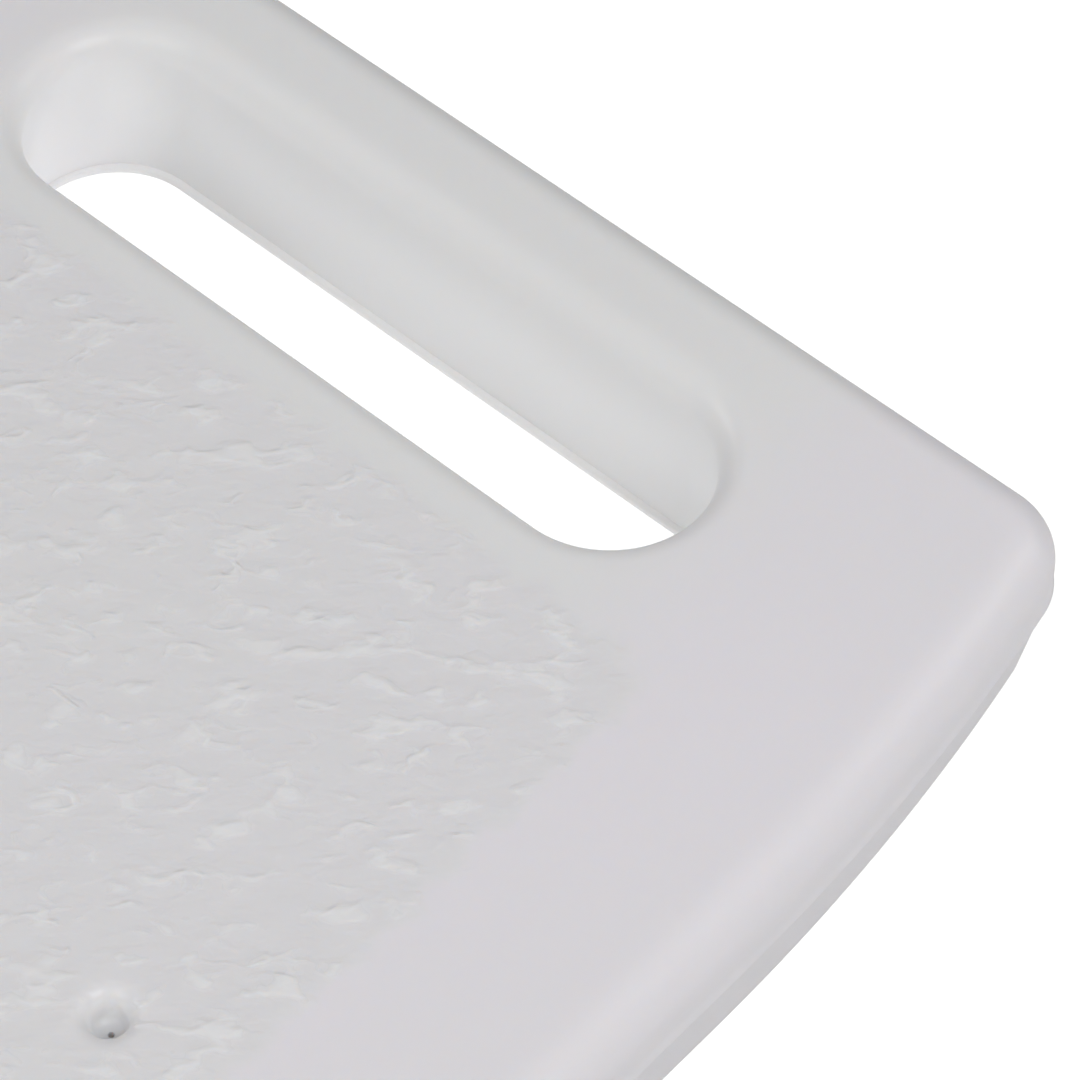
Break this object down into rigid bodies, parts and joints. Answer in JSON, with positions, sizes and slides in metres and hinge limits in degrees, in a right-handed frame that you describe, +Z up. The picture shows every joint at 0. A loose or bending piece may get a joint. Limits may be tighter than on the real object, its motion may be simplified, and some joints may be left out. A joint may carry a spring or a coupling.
{
  "type": "shower stool",
  "caption": "Height-adjustable shower stool: hollow moulded seat with hand-hold slots, drain holes and wrinkle grain, on splayed telescoping legs with a cross brace.",
  "frame": {"origin": "on the floor, under the middle of the seat, with the legs at their lowest setting", "axes": "+Z up, +X along the seat's length towards its right end, +Y along its depth towards the back"},
  "size_m": [0.5, 0.3776, 0.4],
  "materials": {
    "seat_plastic": "blow-moulded polyethylene, satin, wrinkle-grained on top",
    "frame_tube": "brushed and clear anodised",
    "extension_tube": "brushed and clear anodised",
    "brace_bar": "brushed",
    "grey_plastic": "injection-moulded, fine spark texture",
    "fastener_steel": "stainless",
    "spring_steel": "spring temper",
    "brass_insert": "turned",
    "foot_rubber": "grey rubber"
  },
  "bodies": {
    "root": {"seat": "seat_plastic", "frame_tube_left": "frame_tube", "frame_tube_right": "frame_tube", "seat_screws": "fastener_steel", "seat_washers": "grey_plastic", "seat_inserts": "brass_insert", "brace_lower": "brace_bar", "brace_upper": "brace_bar", "brace_rivet": "fastener_steel", "brace_bolts": "fastener_steel", "brace_nuts": "fastener_steel", "collar_screws": "fastener_steel", "saddle_fl": "grey_plastic", "brace_collar_fl": "grey_plastic", "leg_bush_fl": "grey_plastic", "saddle_fr": "grey_plastic", "brace_collar_fr": "grey_plastic", "leg_bush_fr": "grey_plastic", "saddle_bl": "grey_plastic", "brace_collar_bl": "grey_plastic", "leg_bush_bl": "grey_plastic", "saddle_br": "grey_plastic", "brace_collar_br": "grey_plastic", "leg_bush_br": "grey_plastic"},
    "leg_fl": {"leg_extension_fl": "extension_tube", "glide_cap_fl": "grey_plastic", "snap_spring_fl": "spring_steel", "foot_fl": "foot_rubber", "foot_washer_fl": "fastener_steel"},
    "button_fl": {"snap_button_fl": "fastener_steel"},
    "leg_fr": {"leg_extension_fr": "extension_tube", "glide_cap_fr": "grey_plastic", "snap_spring_fr": "spring_steel", "foot_fr": "foot_rubber", "foot_washer_fr": "fastener_steel"},
    "button_fr": {"snap_button_fr": "fastener_steel"},
    "leg_bl": {"leg_extension_bl": "extension_tube", "glide_cap_bl": "grey_plastic", "snap_spring_bl": "spring_steel", "foot_bl": "foot_rubber", "foot_washer_bl": "fastener_steel"},
    "button_bl": {"snap_button_bl": "fastener_steel"},
    "leg_br": {"leg_extension_br": "extension_tube", "glide_cap_br": "grey_plastic", "snap_spring_br": "spring_steel", "foot_br": "foot_rubber", "foot_washer_br": "fastener_steel"},
    "button_br": {"snap_button_br": "fastener_steel"}
  },
  "joints": [
    {"name": "leg_height_fl", "type": "slide", "parent": "root", "child": "leg_fl", "axis": [-0.2389, -0.1564, -0.9583], "range_m": [0, 0.15]},
    {"name": "button_press_fl", "type": "slide", "parent": "leg_fl", "child": "button_fl", "axis": [0.971, -0.0385, -0.2358], "range_m": [0, 0.005], "stiffness_N_per_m": 1500, "springref_m": -0.003, "deforming": ["snap_spring_fl"]},
    {"name": "leg_height_fr", "type": "slide", "parent": "root", "child": "leg_fr", "axis": [0.2389, -0.1564, -0.9583], "range_m": [0, 0.15]},
    {"name": "button_press_fr", "type": "slide", "parent": "leg_fr", "child": "button_fr", "axis": [-0.971, -0.0385, -0.2358], "range_m": [0, 0.005], "stiffness_N_per_m": 1500, "springref_m": -0.003, "deforming": ["snap_spring_fr"]},
    {"name": "leg_height_bl", "type": "slide", "parent": "root", "child": "leg_bl", "axis": [-0.2389, 0.1564, -0.9583], "range_m": [0, 0.15]},
    {"name": "button_press_bl", "type": "slide", "parent": "leg_bl", "child": "button_bl", "axis": [0.971, 0.0385, -0.2358], "range_m": [0, 0.005], "stiffness_N_per_m": 1500, "springref_m": -0.003, "deforming": ["snap_spring_bl"]},
    {"name": "leg_height_br", "type": "slide", "parent": "root", "child": "leg_br", "axis": [0.2389, 0.1564, -0.9583], "range_m": [0, 0.15]},
    {"name": "button_press_br", "type": "slide", "parent": "leg_br", "child": "button_br", "axis": [-0.971, 0.0385, -0.2358], "range_m": [0, 0.005], "stiffness_N_per_m": 1500, "springref_m": -0.003, "deforming": ["snap_spring_br"]}
  ]
}
